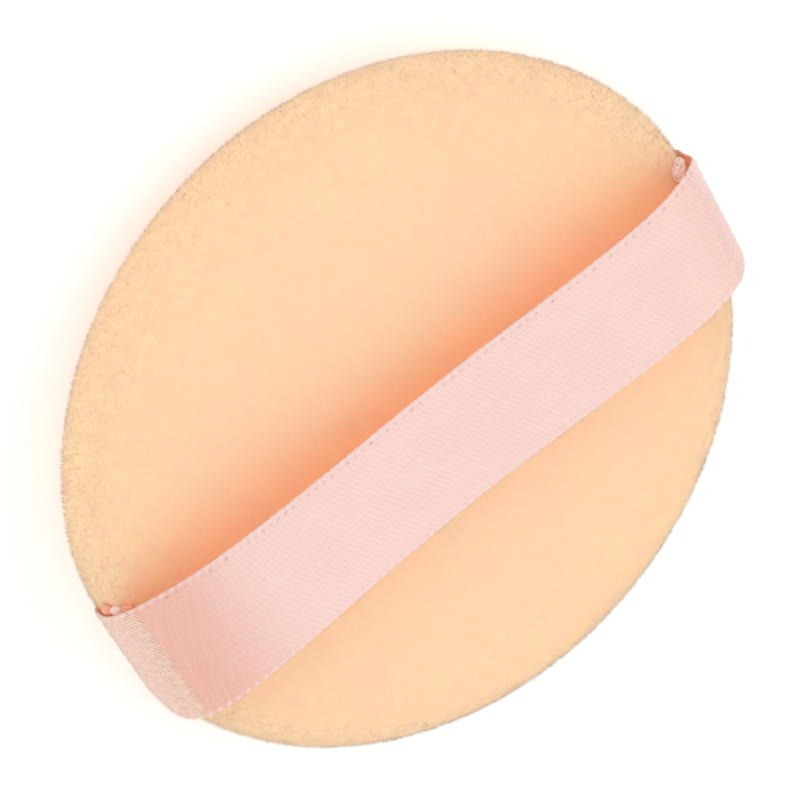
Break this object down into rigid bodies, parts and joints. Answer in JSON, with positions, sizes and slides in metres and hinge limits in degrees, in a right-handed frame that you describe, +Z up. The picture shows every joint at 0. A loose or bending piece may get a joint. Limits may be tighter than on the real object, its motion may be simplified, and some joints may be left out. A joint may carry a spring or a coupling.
{
  "type": "powder puff",
  "caption": "Round soft velour cosmetic puff with a sponge core and a pink satin finger ribbon bridging its back from rim to rim.",
  "frame": {"origin": "middle of the flat powder face, which is the bottom of the bounding box", "axes": "+Z up through the back, from the powder face to the ribbon; X along the ribbon; Y across it"},
  "size_m": [0.0796, 0.08, 0.0157],
  "materials": {
    "velour": "short dense peach velour pile",
    "sponge": "open-cell polyurethane sponge, cream",
    "satin": "pale pink polyester satin ribbon, soft lengthwise sheen",
    "seam_thread": "spun polyester sewing thread, peach",
    "tack_thread": "polyester sewing thread, pink"
  },
  "bodies": {
    "pad": {"face_cover": "velour", "back_cover": "velour", "foam_core": "sponge", "rim_needle_thread": "seam_thread", "rim_bobbin_thread": "seam_thread", "closing_thread": "seam_thread", "ribbon_tack_left": "tack_thread", "ribbon_tack_right": "tack_thread"},
    "strap": {"ribbon_strap": "satin"}
  },
  "joints": [
    {"name": "strap_lift", "type": "slide", "parent": "pad", "child": "strap", "axis": [0, 0, 1], "range_m": [0, 0.008], "deforming": ["ribbon_strap"]}
  ]
}
